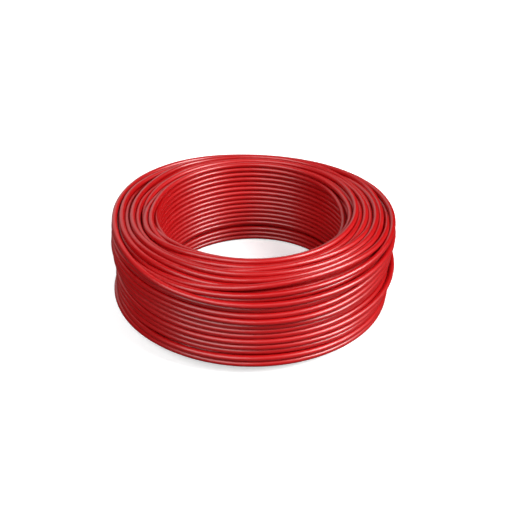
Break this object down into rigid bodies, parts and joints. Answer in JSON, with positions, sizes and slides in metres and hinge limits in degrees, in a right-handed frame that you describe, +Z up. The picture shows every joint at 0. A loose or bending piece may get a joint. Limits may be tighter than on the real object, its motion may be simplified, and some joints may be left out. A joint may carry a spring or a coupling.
{
  "type": "coil of insulated wire",
  "caption": "Ring-shaped bare coil of red PVC-insulated stranded copper building wire, wound in layers with no spool, both cut ends free to bend away.",
  "frame": {"origin": "on the coil's axis, level with the plane that the coil stands on", "axes": "+Z up along the coil's axis; the outer end lies round the +Y side at the bottom, from azimuth 80 to 135 degrees, and the inner end lies on the wall of the hole, from azimuth 335 back to 280 degrees"},
  "size_m": [0.1856, 0.1856, 0.0648],
  "materials": {
    "red_pvc": "semi-gloss extruded red PVC, faint lengthwise drawing marks, light scuffs on the outer turns",
    "copper": null
  },
  "bodies": {
    "coil": {"winding_layer_1": "red_pvc", "winding_layer_2": "red_pvc", "winding_layer_3": "red_pvc", "winding_layer_4": "red_pvc", "winding_layer_5": "red_pvc", "winding_layer_6": "red_pvc", "winding_layer_7": "red_pvc", "winding_layer_8": "red_pvc", "winding_layer_9": "red_pvc"},
    "inner_end": {"inner_end_covering": "red_pvc", "inner_end_centre_strand": "copper", "inner_end_twisted_strand_1": "copper", "inner_end_twisted_strand_2": "copper", "inner_end_twisted_strand_3": "copper", "inner_end_twisted_strand_4": "copper", "inner_end_twisted_strand_5": "copper", "inner_end_twisted_strand_6": "copper"},
    "outer_end": {"outer_end_covering": "red_pvc", "outer_end_centre_strand": "copper", "outer_end_twisted_strand_1": "copper", "outer_end_twisted_strand_2": "copper", "outer_end_twisted_strand_3": "copper", "outer_end_twisted_strand_4": "copper", "outer_end_twisted_strand_5": "copper", "outer_end_twisted_strand_6": "copper"}
  },
  "joints": [
    {"name": "inner_end_bend", "type": "hinge", "parent": "coil", "child": "inner_end", "pos_m": [0.05402, -0.02519, 0.054], "axis": [0, 0, -1], "range_deg": [0, 45]},
    {"name": "outer_end_bend", "type": "hinge", "parent": "coil", "child": "outer_end", "pos_m": [0.0158, 0.08962, 0.0071], "axis": [0, 0, -1], "range_deg": [0, 60]}
  ]
}
